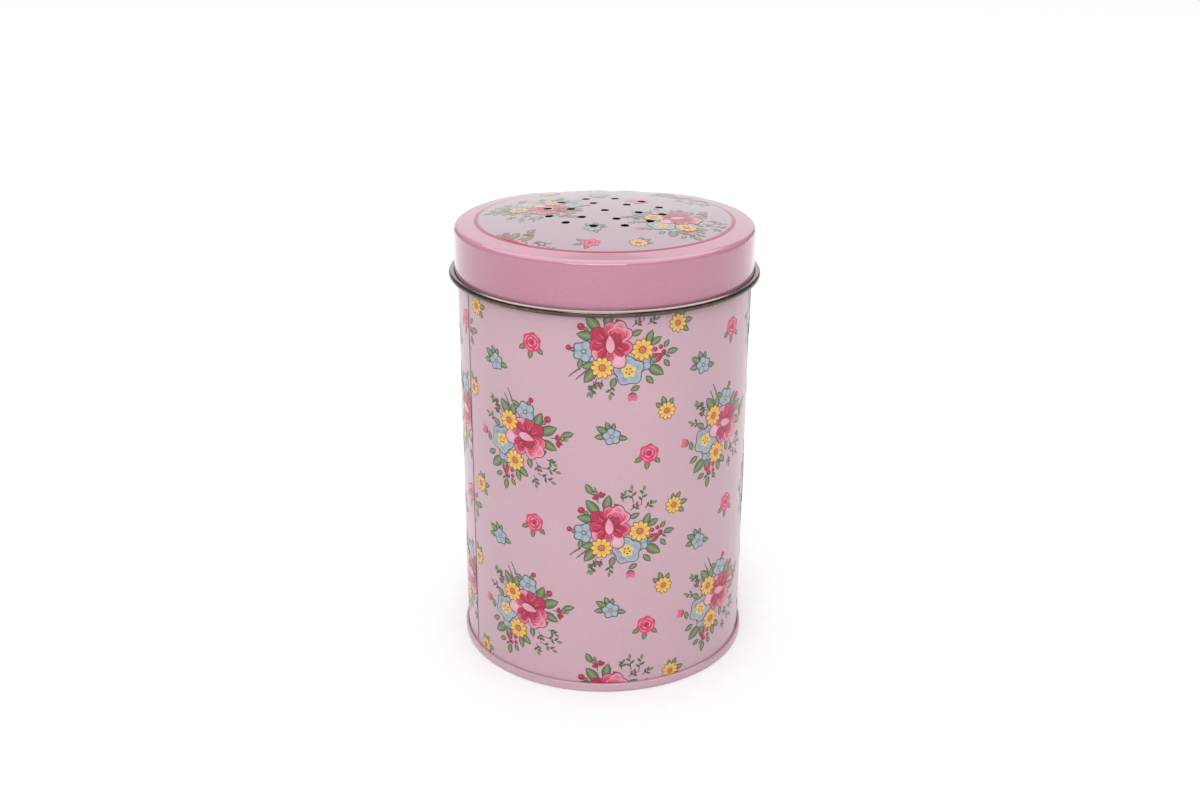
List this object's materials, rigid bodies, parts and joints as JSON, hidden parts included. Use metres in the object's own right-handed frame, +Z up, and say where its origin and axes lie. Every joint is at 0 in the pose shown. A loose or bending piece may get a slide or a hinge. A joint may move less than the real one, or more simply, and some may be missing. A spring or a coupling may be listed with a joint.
{
  "type": "talcum powder tin",
  "caption": "Round printed tinplate powder tin with a seamed base, a vertical side seam and a slip-on domed lid pierced with shaker holes.",
  "frame": {"origin": "middle of the foot, on the surface that the tin stands on", "axes": "+Z up along the tin's axis, -Y towards the viewer at the front of the print"},
  "size_m": [0.0742, 0.0742, 0.1094],
  "materials": {
    "printed_tinplate": "gloss varnish over printed ink, bare tinplate inside",
    "coated_tinplate": "gloss coated tinplate, bare inside",
    "lining_compound": "matte cured sealing compound",
    "lid_tinplate": "gloss varnish over printed ink, bare tinplate inside and at the curl"
  },
  "bodies": {
    "tin": {"body_wall": "printed_tinplate", "base_end": "coated_tinplate", "seam_compound": "lining_compound"},
    "lid": {"lid": "lid_tinplate"}
  },
  "joints": [
    {"name": "lid_lift", "type": "slide", "parent": "tin", "child": "lid", "axis": [0, 0, 1], "range_m": [0, 0.035]}
  ]
}
